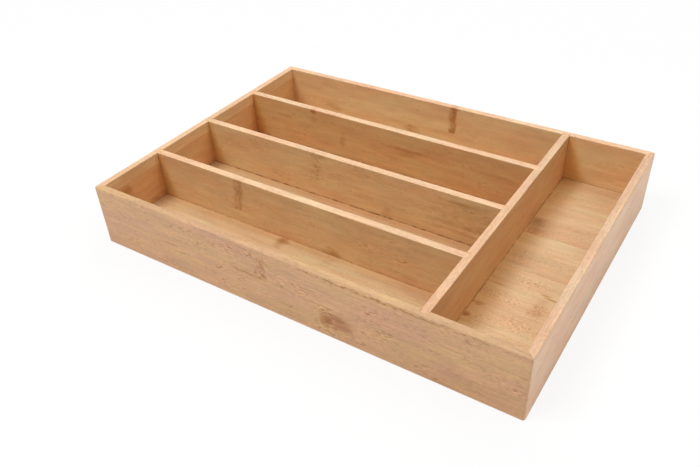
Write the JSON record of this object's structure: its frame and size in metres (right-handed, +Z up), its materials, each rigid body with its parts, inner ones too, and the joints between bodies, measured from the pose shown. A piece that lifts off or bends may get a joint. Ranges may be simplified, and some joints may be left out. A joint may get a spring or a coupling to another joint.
{
  "type": "cutlery tray",
  "caption": "Open bamboo drawer tray for cutlery: mitred walls round a raised floor, with long slots side by side and a cross compartment at one end.",
  "frame": {"origin": "middle of the bottom of the outside box, on the surface that the tray stands on", "axes": "+X along the length towards the cross compartment, +Y from the front wall to the back wall, +Z up to the open rim"},
  "size_m": [0.356, 0.256, 0.0525],
  "materials": {
    "wall_bamboo": "sanded bamboo strips, clear satin lacquer",
    "divider_bamboo": "sanded bamboo strips, clear satin lacquer",
    "floor_bamboo": "sanded bamboo strips, clear satin lacquer"
  },
  "bodies": {
    "root": {"front_wall_lower_strip": "wall_bamboo", "front_wall_upper_strip": "wall_bamboo", "back_wall_lower_strip": "wall_bamboo", "back_wall_upper_strip": "wall_bamboo", "left_wall_lower_strip": "wall_bamboo", "left_wall_middle_strip": "wall_bamboo", "left_wall_upper_strip": "wall_bamboo", "right_wall_lower_strip": "wall_bamboo", "right_wall_upper_strip": "wall_bamboo", "cross_divider_lower_strip": "divider_bamboo", "cross_divider_upper_strip": "divider_bamboo", "front_divider_lower_strip": "divider_bamboo", "front_divider_upper_strip": "divider_bamboo", "middle_divider_lower_strip": "divider_bamboo", "middle_divider_upper_strip": "divider_bamboo", "back_divider_lower_strip": "divider_bamboo", "back_divider_upper_strip": "divider_bamboo", "floor_strip_1": "floor_bamboo", "floor_strip_2": "floor_bamboo", "floor_strip_3": "floor_bamboo", "floor_strip_4": "floor_bamboo", "floor_strip_5": "floor_bamboo", "floor_strip_6": "floor_bamboo", "floor_strip_7": "floor_bamboo", "floor_strip_8": "floor_bamboo", "floor_strip_9": "floor_bamboo", "floor_strip_10": "floor_bamboo", "floor_strip_11": "floor_bamboo"}
  },
  "joints": []
}
